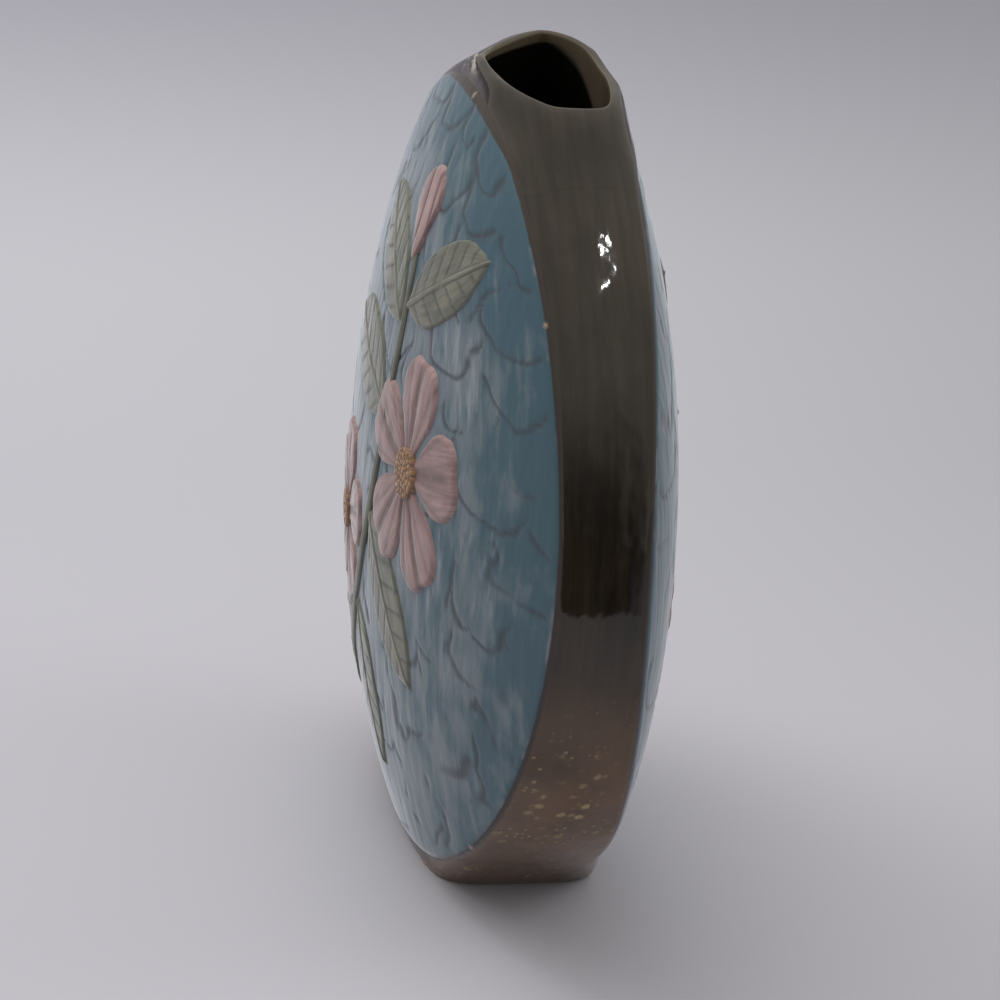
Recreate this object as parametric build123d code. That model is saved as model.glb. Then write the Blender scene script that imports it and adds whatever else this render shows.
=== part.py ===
from build123d import *
import math
import os

# Pillow vase, hand-built from clay slabs, in millimetres.
# The origin is the middle of the foot, +Z is up, X runs across the faces and -Y is the front.

# Body
face_radius = 87.5  # disc of each face
rim_lift = 1.0  # lowest edge of the discs above the ground
lip_rise = 4.0  # lip above the highest edge of the discs
belly_half_thickness = 31.5  # middle plane to the fullest point of a face
belly_drop = 6.0  # fullest point of a face below the middle of its disc
band_side_half_width = 10.6  # half width of the band half way up
band_foot_half_width = 18.5  # half width of the band at the ground
band_crown = 1.2  # swell of the band between the two rims
band_crown_width = 15.0  # half width over which the band swells

# Slabs and coils
wall = 5.0  # domed face slabs
band_wall = 5.5  # side strips
base_thickness = 7.0
rim_round = 0.9  # softened edge between face and band
coil_width = 4.0  # clay coil in the inside corners
coil_top_gap = 24.0  # the coils end this far below the lip

# Mouth, with a short neck that grows out of the band
lip_half_length = 31.0
lip_shift = 1.5  # lip off the middle plane, towards the back
lip_overhang = 0.5  # lip past the rims on each side
lip_wall = 3.3  # clay beside the mouth
lip_end_wall = 5.5  # clay at the two ends of the mouth
lip_corner = 14.0
lip_round = 2.0  # outer edge of the lip
mouth_round = 0.9  # inner edge of the lip
lip_piece_height = 12.0  # the lip is a piece of its own from this far below the top
neck_height = 28.0
neck_end_inset = 4.2  # lower end of the neck inside the disc's edge
neck_inset = 0.8  # lower end of the neck inside the faces

# Foot, which grows out of the band below
foot_half_length = 33.0
foot_shift = 1.2  # foot off the middle plane, towards the back
foot_inset = 1.5  # foot inside the rims, before it is shifted
foot_corner = 10.0
foot_height = 16.0
foot_top_end_inset = 3.0  # upper end of the foot inside the disc's edge
foot_top_inset = 3.0  # upper end of the foot inside the rims

# Relief
stem_width = 3.4
stem_relief = 1.0
leaf_relief = 0.9
petal_relief = 1.3
centre_relief = 1.9
bud_relief = 1.4
petal_count = 5
petal_gap_angle = 4.0  # degrees left free between two petals
centre_share = 0.22  # radius of a blossom's centre over the blossom's
bud_half_angle = 26.0  # degrees
leaf_fullness = 0.23  # half width of a leaf over its length

# Places on a face: across and up from the middle of the disc, as read from in front of that face.
# They and the lengths are in hundredths of the face's radius, and headings are in degrees.
stem_points = [(-41, -71), (-14, -43), (3, -9), (10, 27), (5, 59)]
bud = (5, 55, 98, 27)  # across, up, heading, length
blossoms = [(31, 11, 32), (-29, -23, 26)]  # across, up, outer radius
leaves = [  # across, up, heading, length
    (8, 46, 34, 48),
    (8, 41, 150, 50),
    (9, 18, 166, 53),
    (3, -9, -42, 53),
    (-9, -38, -66, 46),
    (-16, -46, 196, 37),
    (-27, -58, -128, 27),
]

# Cutting bodies
half_turn = 30.0  # degrees a face is swept each way, more than its height needs
side_margin = 10.0  # they reach this far past the vase

FRONT, BACK = -1, 1
sides = {"front": FRONT, "back": BACK}
hands = {"left": -1, "right": 1}


def arc_radius(half_chord, rise):
    """Radius of an arc over a chord."""
    return (half_chord**2 + rise**2) / (2 * rise)


def disc_half_length(level):
    """Half length of the disc at a level."""
    return math.sqrt(face_radius**2 - (level - face_centre_height) ** 2)


def face_half_thickness(across, level):
    """Middle plane to the surface of a face, at a place across and a level."""
    belly_radius = math.sqrt(arc_across**2 - across**2) - arc_across + arc_up
    return math.sqrt(belly_radius**2 - (level - belly_height) ** 2) - arc_up + belly_half_thickness


# Levels and curves that follow from the sizes above
face_centre_height = rim_lift + face_radius
height = face_centre_height + face_radius + lip_rise
belly_height = face_centre_height - belly_drop
lip_level = height - lip_piece_height
arc_across = arc_radius(face_radius, belly_half_thickness - band_side_half_width)
arc_up = arc_radius(face_radius - belly_drop, belly_half_thickness - band_foot_half_width)
band_top_half_width = face_half_thickness(0, face_centre_height + face_radius)
lip_half_width = band_top_half_width + lip_overhang
neck_level = height - neck_height
neck_half_length = disc_half_length(neck_level) - neck_end_inset
neck_half_width = face_half_thickness(neck_half_length, neck_level) - neck_inset
foot_top_half_length = disc_half_length(foot_height) - foot_top_end_inset
reach = face_radius + side_margin
depth = belly_half_thickness + side_margin
disc_axis = Axis((0, 0, face_centre_height), (0, 1, 0))


def barrel(side, growth):
    """Everything behind a face's surface, with the surface moved outwards by a growth."""
    radius = arc_across + growth
    axis_y = side * (belly_half_thickness - arc_up)
    middle_y = side * (belly_half_thickness - arc_across)
    crown_y = middle_y + side * radius
    end_y = middle_y + side * math.sqrt(radius**2 - reach**2)
    profile = make_face(
        [
            ThreePointArc((-reach, end_y), (0, crown_y), (reach, end_y)),
            Polyline((reach, end_y), (reach, axis_y), (-reach, axis_y), (-reach, end_y)),
        ]
    )
    axis = Axis((0, axis_y, belly_height), (1, 0, 0))
    placed = (Pos(0, 0, belly_height) * profile).rotate(axis, -half_turn)
    return revolve(placed, axis, 2 * half_turn)


def crowned_disc():
    """A thick disc whose edge swells a little in the middle."""
    swell_radius = arc_radius(band_crown_width, band_crown)
    top = face_radius + band_crown
    end = top - swell_radius + math.sqrt(swell_radius**2 - depth**2)
    profile = make_face(
        [
            ThreePointArc((end, -depth), (top, 0), (end, depth)),
            Polyline((end, depth), (0, depth), (0, -depth), (end, -depth)),
        ]
    )
    return revolve(Pos(0, 0, face_centre_height) * profile, disc_axis)


def round_hollow(inset, floor):
    """A round space through both faces, drawn in from the disc's edge, with a level floor."""
    tube = extrude(Plane.XZ * Pos(0, face_centre_height) * Circle(face_radius - inset), depth, both=True)
    return tube & level_slice(floor, height)


def level_slice(low, high):
    """All space between two levels, wider than the vase."""
    return Pos(0, 0, (low + high) / 2) * Box(2 * reach, 2 * reach, high - low)


def rounded_plan(half_length, half_width, corner, level, shift=0):
    """A level section with rounded corners, shifted towards the back."""
    fitting = min(corner, 0.95 * half_width, 0.95 * half_length)
    return Pos(0, shift, level) * RectangleRounded(2 * half_length, 2 * half_width, fitting)


def petal(length, half_angle):
    """Drop shape with its point at the origin and its round end along +X."""
    flank = length / (1 + math.sin(half_angle)) * math.cos(half_angle)
    across, up = flank * math.cos(half_angle), flank * math.sin(half_angle)
    return make_face(
        [
            Polyline((across, up), (0, 0), (across, -up)),
            ThreePointArc((across, -up), (length, 0), (across, up)),
        ]
    )


def leaf(length):
    """Pointed leaf with its foot at the origin and its tip along +X."""
    start, tip = (0, 0), (length, 0)
    bulge = leaf_fullness * length
    return make_face(
        [
            ThreePointArc(start, (length / 2, bulge), tip),
            ThreePointArc(tip, (length / 2, -bulge), start),
        ]
    )


outer = {side: barrel(side, 0) for side in sides.values()}
inner = {side: barrel(side, -wall) for side in sides.values()}
nodes = {}

# The whole body, its hollow and the hole of the mouth
disc = crowned_disc() & outer[FRONT] & outer[BACK]
neck = loft(
    [
        rounded_plan(neck_half_length, neck_half_width, lip_corner, neck_level),
        rounded_plan(lip_half_length, lip_half_width, lip_corner, height, lip_shift),
    ],
    ruled=True,
)
foot = loft(
    [
        rounded_plan(foot_half_length, band_foot_half_width - foot_inset, foot_corner, 0, foot_shift),
        rounded_plan(foot_top_half_length, band_foot_half_width - foot_top_inset, foot_corner, foot_height),
    ],
    ruled=True,
)
hollow = round_hollow(band_wall, base_thickness)
mouth_plan = Ellipse(lip_half_length - lip_end_wall, lip_half_width - lip_wall)
mouth = Pos(0, lip_shift, face_centre_height) * extrude(mouth_plan, height)

# Domed face slabs; what lies between and round them is the band with its neck and foot
slabs = {name: disc - inner[side] - mouth for name, side in sides.items()}
band = (disc & inner[FRONT] & inner[BACK]) + (neck - disc) + (foot - disc) - hollow - mouth
for name, slab in slabs.items():
    outermost = slab.faces().sort_by(Axis.Y)[0 if sides[name] == FRONT else -1]
    nodes[f"{name}_wall"] = fillet(outermost.edges(), rim_round)

# Foot slab, side strips and lip
nodes["base_slab"] = band & level_slice(0, base_thickness)
strips = band & level_slice(base_thickness, lip_level)
for name, hand in hands.items():
    half = Pos(hand * reach / 2, 0, height / 2) * Box(reach, 2 * depth, height)
    nodes[f"{name}_side_band"] = strips & half
lip = band & level_slice(lip_level, height + side_margin)
mouth_edge = lip.faces().sort_by(Axis.Z)[-1].inner_wires()[0]
lip = fillet(mouth_edge.edges(), min(mouth_round, 0.3 * lip_wall))
outer_edge = lip.faces().sort_by(Axis.Z)[-1].outer_wire()
nodes["mouth_lip"] = fillet(outer_edge.edges(), min(lip_round, 0.65 * lip_wall))

# Clay coils pressed into the inside corners, open towards the mouth
coil_space = round_hollow(band_wall, base_thickness) & level_slice(base_thickness, height - coil_top_gap)
coil_clear = round_hollow(band_wall + coil_width, base_thickness + coil_width)
for name, side in sides.items():
    nodes[f"{name}_seam_coil"] = (coil_space & inner[side]) - coil_clear - barrel(side, -wall - coil_width)

# Shapes of the relief, from the top layer down, with how far each stands proud
design_unit = face_radius / 100
petal_half_angle = math.radians(180 / petal_count - petal_gap_angle / 2)
petal_step = 360 / petal_count
layers = []
for number, (across, up, size) in enumerate(blossoms, 1):
    place = Pos(design_unit * across, design_unit * up)
    radius = design_unit * size
    petals = [Rot(0, 0, 90 + k * petal_step) * petal(radius, petal_half_angle) for k in range(petal_count)]
    layers.append((f"blossom_{number}_centre", place * Circle(centre_share * radius), centre_relief))
    layers.append((f"blossom_{number}_petals", place * Sketch(children=petals), petal_relief))
across, up, heading, size = bud
place = Pos(design_unit * across, design_unit * up) * Rot(0, 0, heading)
layers.append(("bud", place * petal(design_unit * size, math.radians(bud_half_angle)), bud_relief))
for number, (across, up, heading, size) in enumerate(leaves, 1):
    place = Pos(design_unit * across, design_unit * up) * Rot(0, 0, heading)
    layers.append((f"leaf_{number}", place * leaf(design_unit * size), leaf_relief))
stem_line = Spline(*[(design_unit * across, design_unit * up) for across, up in stem_points])
layers.append(("stem", trace(stem_line, stem_width), stem_relief))

# Each shape is cut by those over it and laid on the front face, and the back carries the same design
covered = Sketch()
for name, shape, rise in layers:
    visible = shape - covered
    covered = covered + shape
    stand = extrude(Plane.XZ * Pos(0, face_centre_height) * visible, depth)
    piece = (stand & barrel(FRONT, rise)) - outer[FRONT]
    nodes[f"front_{name}"] = piece
    nodes[f"back_{name}"] = piece.rotate(Axis.Z, 180)

os.makedirs("parts", exist_ok=True)
for name, shape in nodes.items():
    shape.label = name
    export_step(shape, f"parts/{name}.step")
    print(f"{name}: {len(shape.solids())} solids, {shape.volume / 1000:.2f} cm3")
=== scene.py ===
import math
import bpy
import numpy as np
from mathutils import Matrix, Vector


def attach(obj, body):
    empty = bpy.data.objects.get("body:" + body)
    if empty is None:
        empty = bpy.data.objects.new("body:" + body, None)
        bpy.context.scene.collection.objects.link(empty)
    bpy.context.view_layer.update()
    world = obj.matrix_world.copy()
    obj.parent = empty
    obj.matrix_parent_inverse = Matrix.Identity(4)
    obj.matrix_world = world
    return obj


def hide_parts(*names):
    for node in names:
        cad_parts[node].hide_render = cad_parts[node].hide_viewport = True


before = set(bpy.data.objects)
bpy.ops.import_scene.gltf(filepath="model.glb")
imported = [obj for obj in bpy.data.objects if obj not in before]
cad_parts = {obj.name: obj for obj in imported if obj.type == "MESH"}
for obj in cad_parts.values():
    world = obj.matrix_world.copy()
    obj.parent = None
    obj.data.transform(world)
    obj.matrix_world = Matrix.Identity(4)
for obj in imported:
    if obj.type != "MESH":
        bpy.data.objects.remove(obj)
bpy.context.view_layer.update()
print("frame loaded:", len(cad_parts), "CAD pieces")

mm = 0.001  # shapes are worked out in millimetres, meshes are stored in metres
sharpAngle = math.radians(48)  # mesh edges that turn by more than this are shaded sharp

# Body of the vase: sizes as in the CAD, in millimetres
body = {
    "faceRadius": 87.5,  # disc of each face
    "rimLift": 1.0,  # lowest edge of the discs above the ground
    "lipRise": 4.7,  # lip above the highest edge of the discs
    "bellyHalf": 31.5,  # middle plane to the fullest point of a face
    "bellyDrop": 6.0,
    "sideHalf": 10.6,  # half width of the band half way up
    "footHalf": 18.5,  # half width of the band at the ground
    "crown": 1.2,  # swell of the band between the rims
    "crownWidth": 15.0,
    "wall": 5.0,
    "mouthWall": 1.6,  # face slabs are thinned beside the mouth
    "thinnedLevels": (148, 168),
    "thinnedReach": (48, 34),
    "fullness": 0.8,  # faces stand out more than plain arcs half way to the rim
    "backPullTop": 1.8,  # back rim drawn out beside the mouth and at the foot
    "backPullFoot": 4.0,
    "pullTopRange": (0.88, 0.99),  # as cosines of the angle from the top or the foot
    "pullFootRange": (0.84, 0.97),
    "bandWall": 5.5,
    "baseThickness": 7.0,
    "rimRoll": 0.35,  # softened edge between face and band
    "rimRollWidth": 1.3,
    "wobble": 0.16,  # unevenness left by the hand
    "leastCosine": 0.3,  # flat tops and floors end where the disc turns past this
}
neck = {
    # how far the lip reaches along the band, at places across it
    "near": [
        (-12.6, 4),
        (-10.8, 14),
        (-6.6, 23),
        (0, 26),
        (6, 25.6),
        (11.5, 22.5),
        (14.4, 15),
        (16.2, 4),
    ],
    "far": [
        (-12.4, 11.2),
        (-8.2, 17),
        (-2.7, 23.7),
        (1.5, 27.2),
        (6.4, 29.6),
        (10.4, 26.4),
        (13.2, 21.6),
        (16, 11),
    ],
    "margin": 2,
    "samples": 160,
    "smoothing": 19,  # samples that each point of the smoothed outline is the mean of
    "slope": 0.79,  # fall of the neck per millimetre outwards
    "farSlopes": [  # the same on the far side, at places across it
        (-12.5, 0.55),
        (-8, 0.62),
        (-2, 0.75),
        (3, 0.82),
    ],
    "farLift": 1.1,  # far end of the lip stands higher
    "crest": 4.0,  # rounding between top and flank
    "blend": 5.5,  # hollow between flank and band
    "fade": (0.56, 0.9),  # angles over which the neck runs out into the band
    "edgeStart": 0.8,  # share of the half width where the lip starts to round over, front and back
    "edgeStartBack": 0.92,
    "pieceAngle": math.radians(27.7),
}
foot = {
    "half": 30.5,
    "corner": 10.0,
    "straight": 9.5,
    "shift": 3.2,  # foot off the middle plane
    "slope": 0.8125,  # spread of the foot per millimetre up
    "crest": 2.0,
    "blend": 9.0,
    "fade": (0.55, 0.88),
    "edgeStart": 0.86,
    "edgeStartBack": 0.9,
    "pieceAngle": math.radians(180 - 25.4),
}

centreHeight = body["rimLift"] + body["faceRadius"]
topRise = body["faceRadius"] + body["lipRise"]
bellyHeight = centreHeight - body["bellyDrop"]
hollowRadius = body["faceRadius"] - body["bandWall"]


def arcRadius(halfChord, rise):
    return (halfChord**2 + rise**2) / (2 * rise)


arcAcross = arcRadius(body["faceRadius"], body["bellyHalf"] - body["sideHalf"])
arcUp = arcRadius(body["faceRadius"] - body["bellyDrop"], body["bellyHalf"] - body["footHalf"])


# Repeatable noise on plain arrays
def lattice(i, j, seed):
    n = np.sin(i * 127.1 + j * 311.7 + seed * 74.7) * 43758.5453
    return n - np.floor(n)


def softNoise(x, y, seed):  # smooth, from -1 to 1
    i, j = np.floor(x), np.floor(y)
    u, v = x - i, y - j
    u, v = u * u * (3 - 2 * u), v * v * (3 - 2 * v)
    low = lattice(i, j, seed) * (1 - u) + lattice(i + 1, j, seed) * u
    high = lattice(i, j + 1, seed) * (1 - u) + lattice(i + 1, j + 1, seed) * u
    return 2 * (low * (1 - v) + high * v) - 1


def cellEdge(x, y, seed):  # how much nearer the nearest of some scattered points is than the next one
    i, j = np.floor(x), np.floor(y)
    first = np.full_like(x, 9.0)
    second = np.full_like(x, 9.0)
    for di in (-1, 0, 1):
        for dj in (-1, 0, 1):
            px = i + di + 0.5 + 0.8 * (lattice(i + di, j + dj, seed) - 0.5)
            py = j + dj + 0.5 + 0.8 * (lattice(i + di, j + dj, seed + 3.3) - 0.5)
            away = np.hypot(x - px, y - py)
            second = np.minimum(second, np.maximum(first, away))
            first = np.minimum(first, away)
    return second - first


def ease(x, low, high):
    s = np.clip((x - low) / (high - low), 0, 1)
    return s * s * (3 - 2 * s)


def smoothMin(a, b, k):
    h = np.maximum(k - np.abs(a - b), 0) / k
    return np.minimum(a, b) - h * h * k / 4


def smoothMax(a, b, k):
    return -smoothMin(-a, -b, k)


# Surfaces of the body. Angles run from the top of the disc over the right-hand side.
def faceHalf(x, z, growth=0.0):  # middle plane to a face, moved outwards by growth
    level = np.sqrt((arcAcross + growth) ** 2 - x**2) - arcAcross + arcUp
    share = np.clip((x**2 + (z - centreHeight) ** 2) / body["faceRadius"] ** 2, 0, 1)
    full = body["fullness"] * 4 * share * (1 - share)
    return np.sqrt(level**2 - (z - bellyHeight) ** 2) - arcUp + body["bellyHalf"] + full


def swell(y):
    return body["faceRadius"] + body["crown"] * (1 - (y / body["crownWidth"]) ** 2)


def onDisc(angle, radius):
    return radius * np.sin(angle), centreHeight + radius * np.cos(angle)


def edgeY(angle, side):  # rim of the band, front or back
    half = np.full_like(angle, body["sideHalf"])
    for _ in range(6):
        half = faceHalf(*onDisc(angle, swell(half)))
    pull = body["backPullTop"] * ease(np.cos(angle), *body["pullTopRange"])
    pull = pull + body["backPullFoot"] * ease(-np.cos(angle), *body["pullFootRange"])
    return side * (half - body["rimRoll"]) + np.where(side > 0, pull, 0)


def stadiumEnd(y):  # end of the foot's plan, at a place across it
    past = np.clip(np.abs(y - foot["shift"]) - foot["straight"], 0, foot["corner"])
    return foot["half"] - foot["corner"] + np.sqrt(foot["corner"] ** 2 - past**2)


def lipEnd(key, y):  # how far the top of the lip reaches, at a place across it
    across, reach = np.array(neck[key], float).T
    width = neck["smoothing"]
    fine = np.linspace(across[0] - neck["margin"], across[-1] + neck["margin"], neck["samples"])
    padded = np.pad(np.interp(fine, across, reach), width // 2, mode="edge")
    smooth = np.convolve(padded, np.ones(width) / width, "valid")
    return np.interp(y, fine, smooth)


def grownOut(settings, plain, flat, flank, y, share, angle):  # neck or foot that stands out of the band
    raised = smoothMax(plain, smoothMin(flat, flank, settings["crest"]), settings["blend"]) - plain
    start = np.where(y > 0, settings["edgeStartBack"], settings["edgeStart"])
    over = np.clip((share - start) / (1 - start), 0, 1)
    return raised * (1 - over**2.2) * (1 - ease(angle, *settings["fade"]))


def alongBand(angle):  # way down from the top, the same on both sides
    return np.arctan2(np.abs(np.sin(angle)), np.cos(angle)) * body["faceRadius"]


def bandSurface(angle, y):
    angle, y = np.broadcast_arrays(np.asarray(angle, float), np.asarray(y, float))
    c, s = np.cos(angle), np.abs(np.sin(angle))
    half = np.abs(edgeY(angle, np.where(y > 0, 1, -1)))
    share = np.abs(y) / half
    plain = swell(y)
    least = body["leastCosine"]
    near = np.sin(angle) > 0
    fromTop, fromFoot = np.arctan2(s, c), np.arctan2(s, -c)
    slope = np.where(near, neck["slope"], np.interp(y, *np.array(neck["farSlopes"]).T))
    top = topRise + neck["farLift"] * ease(-np.sin(angle), 0.0, 0.3)
    turn = np.minimum(fromTop, np.arctan(slope))
    neckFlank = top + slope * np.where(near, lipEnd("near", y), lipEnd("far", y))
    neckFlank = neckFlank / (np.cos(turn) + slope * np.sin(turn))
    neckRise = grownOut(neck, plain, top / np.maximum(c, least), neckFlank, y, share, fromTop)
    turn = np.minimum(fromFoot, math.atan(1 / foot["slope"]))
    footFlank = stadiumEnd(y) + foot["slope"] * centreHeight
    footFlank = footFlank / (np.sin(turn) + foot["slope"] * np.cos(turn))
    footRise = grownOut(foot, plain, centreHeight / np.maximum(-c, least), footFlank, y, share, fromFoot)
    radius = plain + neckRise + footRise
    roll = np.clip(1 - (1 - share) * half / body["rimRollWidth"], 0, 1)
    radius = radius - body["rimRoll"] * roll**2
    along = alongBand(angle)
    uneven = softNoise(along / 24, y / 11, 1) + 0.55 * softNoise(along / 10, y / 7, 2)
    radius = radius + body["wobble"] * uneven * ease(c, -0.97, -0.9)
    x, z = onDisc(angle, radius)
    return np.stack([x, y, np.maximum(z, 0)], -1)


def bandNormal(angle, y):
    step = 0.004
    width = 0.25
    around = bandSurface(angle + step, y) - bandSurface(angle - step, y)
    across = bandSurface(angle, y + width) - bandSurface(angle, y - width)
    normal = np.cross(around, across)
    normal /= np.linalg.norm(normal, axis=-1, keepdims=True)
    outward = np.stack([np.sin(angle), 0 * angle, np.cos(angle)], -1)
    return normal * np.sign((normal * outward).sum(-1, keepdims=True))


def slabThickness(x, z):
    outer, inner = body["thinnedReach"]
    besideMouth = ease(z, *body["thinnedLevels"]) * ease(-np.abs(x), -outer, -inner)
    return body["wall"] - (body["wall"] - body["mouthWall"]) * besideMouth


def innerPoint(angle, share):  # inside of the band
    floor = (centreHeight - body["baseThickness"]) / np.maximum(-np.cos(angle), body["leastCosine"])
    x, z = onDisc(angle, np.minimum(hollowRadius, floor))
    y = share * faceHalf(x, z, -slabThickness(x, z))
    return np.stack([x, y, z], -1)


# Meshes: rings of points joined up, closed by poles or by joining the last ring to the first
def ringMesh(name, rings, poles=None, attributes=None, normals=None, turnOver=False):
    count = len(rings[0])
    points = np.concatenate(rings)
    rows = len(rings)
    i, j = np.meshgrid(np.arange(rows if poles is None else rows - 1), np.arange(count), indexing="ij")
    nextRow, nextCol = (i + 1) % rows, (j + 1) % count
    quads = [i * count + j, i * count + nextCol, nextRow * count + nextCol, nextRow * count + j]
    faces = np.stack(quads, -1).reshape(-1, 4).tolist()
    if poles is not None:
        first, last = len(points), len(points) + 1
        points = np.concatenate([points, np.array(poles)])
        end = (rows - 1) * count
        faces += [[first, (k + 1) % count, k] for k in range(count)]
        faces += [[last, end + k, end + (k + 1) % count] for k in range(count)]
    if turnOver:
        faces = [face[::-1] for face in faces]
    mesh = bpy.data.meshes.new(name)
    mesh.from_pydata((points * mm).tolist(), [], faces)
    for key, values in (attributes or {}).items():
        values = np.asarray(values, np.float32)
        kind, field = ("FLOAT", "value") if values.ndim == 1 else ("FLOAT_VECTOR", "vector")
        spare = len(points) - len(values)
        values = np.concatenate([values, np.zeros((spare, *values.shape[1:]), np.float32)])
        mesh.attributes.new(key, kind, "POINT").data.foreach_set(field, values.ravel())
    mesh.polygons.foreach_set("use_smooth", [True] * len(mesh.polygons))
    mesh.set_sharp_from_angle(angle=sharpAngle)
    if normals is not None:
        held = np.zeros((len(points), 3))
        held[: len(normals)] = normals
        mesh.normals_split_custom_set_from_vertices(held.tolist())
    mesh.update()
    return mesh


def addObject(name, data):
    made = bpy.data.objects.new(name, data)
    bpy.context.scene.collection.objects.link(made)
    return made


def addPiece(name, mesh, finish, slotName, *nodes):
    piece = addObject(f"{name}_form", mesh)
    mesh.materials.append(finish)
    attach(piece, "root")
    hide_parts(*nodes)
    return piece


# Shader maths as plain expressions
class Wire:
    def __init__(self, tree, socket):
        self.tree = tree
        self.socket = socket

    def node(self, kind, settings=None, values=None, out=0):
        made = self.tree.nodes.new(kind)
        for key, value in (settings or {}).items():
            setattr(made, key, value)
        for key, value in (values or {}).items():
            socket = made.inputs[key]
            if isinstance(value, Wire):
                self.tree.links.new(value.socket, socket)
            elif isinstance(value, tuple) and len(value) == 3 and socket.type == "RGBA":
                socket.default_value = (*value, 1)
            else:
                socket.default_value = value
        return Wire(self.tree, made.outputs[out]) if made.outputs else None

    def maths(self, operation, *values):
        return self.node("ShaderNodeMath", {"operation": operation}, dict(enumerate(values)))

    def __add__(self, other):
        return self.maths("ADD", self, other)

    def __sub__(self, other):
        return self.maths("SUBTRACT", self, other)

    def __rsub__(self, other):
        return self.maths("SUBTRACT", other, self)

    def __mul__(self, other):
        return self.maths("MULTIPLY", self, other)

    __radd__ = __add__
    __rmul__ = __mul__

    def band(self, low, high):  # 0 below low, 1 above high, eased between
        limits = {"Value": self, "From Min": low, "From Max": high}
        return self.node("ShaderNodeMapRange", {"interpolation_type": "SMOOTHSTEP"}, limits)

    def blend(self, first, second):  # this value mixes two colours
        values = {"Factor": self, "A": first, "B": second}
        return self.node("ShaderNodeMix", {"data_type": "RGBA"}, values, "Result")

    def tinted(self, colour):  # a colour multiplied by another
        settings = {"data_type": "RGBA", "blend_type": "MULTIPLY"}
        values = {"Factor": 1.0, "A": self, "B": colour}
        return self.node("ShaderNodeMix", settings, values, "Result")

    def stretched(self, scale):  # a vector scaled along each axis
        return self.node("ShaderNodeVectorMath", {"operation": "MULTIPLY"}, {0: self, 1: scale})

    def noise(self, scale, detail=3.0, roughness=0.55):
        values = {"Vector": self, "Scale": scale, "Detail": detail, "Roughness": roughness}
        return self.node("ShaderNodeTexNoise", None, values, "Fac")

    def away(self, spot):  # distance from a place
        return self.node("ShaderNodeVectorMath", {"operation": "DISTANCE"}, {0: self, 1: spot}, "Value")

    def spots(self, scale, out="Distance"):
        return self.node("ShaderNodeTexVoronoi", None, {"Vector": self, "Scale": scale}, out)

    def parts(self):
        kinds = ("X", "Y", "Z")
        return [self.node("ShaderNodeSeparateXYZ", None, {"Vector": self}, key) for key in kinds]


def newFinish(name):  # an empty material, with a wire to start from and its place in millimetres
    material = bpy.data.materials.new(name)
    material.use_nodes = True
    tree = material.node_tree
    tree.nodes.clear()
    start = Wire(tree, None)
    place = start.node("ShaderNodeTexCoord", out="Object").stretched((1 / mm, 1 / mm, 1 / mm))
    return material, start, place


def attribute(start, name, out="Fac"):
    return start.node("ShaderNodeAttribute", {"attribute_name": name}, None, out)


def closeFinish(start, values, height=None, relief=0.1):
    if height is not None:
        bumpValues = {"Height": height, "Strength": 1.0, "Distance": relief * mm}
        values["Normal"] = start.node("ShaderNodeBump", None, bumpValues, "Normal")
    shader = start.node("ShaderNodeBsdfPrincipled", None, values, "BSDF")
    start.node("ShaderNodeOutputMaterial", None, {"Surface": shader})


darkGlazeLook = {
    "deep": (0.0125, 0.0098, 0.0076),
    "olive": (0.030, 0.0225, 0.0135),
    "warm": (0.155, 0.088, 0.050),
    # painted light and shade inside the mouth: olive gold on the lit edge, near black painted shade
    # deeper in, paler lit back of the neck
    "mouth": (0.080, 0.063, 0.040),
    "dark": (0.004, 0.0036, 0.003),
    "neck": (0.075, 0.060, 0.042),
    "fleck": (0.34, 0.255, 0.125),
    "worn": (0.42, 0.37, 0.34),
    "rimLine": (0.03, 0.0185, 0.018),
    "chip": (0.30, 0.215, 0.17),
    "clay": (0.33, 0.235, 0.17),
    "roughness": 0.065,
    "chips": [((-1.0, -13.9, 174.2), 1.5), ((56.2, -15.7, 21.5), 1.4), ((65.3, -11.8, 146.7), 1.0)],
    "wear": (-13.0, -14.6, 175.6),
    "wearReach": (3.0, 10.0),
    "dense": (75.5, -2.0, 41.5),  # where the gold flecks lie closest
    "denseReach": (7.0, 17.0),
    "warmBelow": (24.0, 98.0),  # levels between which the warm brown fades out
    "flecksBelow": (40.0, 92.0),  # the same for the gold flecks
}


def chipMask(place):  # small places along the rims where the clay shows
    found = None
    ragged = place.noise(1.3, 3.0, 0.7) * 1.8
    for spot, size in darkGlazeLook["chips"]:
        one = 1.0 - (place.away(spot) + ragged).band(size, size + 0.9)
        found = one if found is None else found + one
    return found


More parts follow.
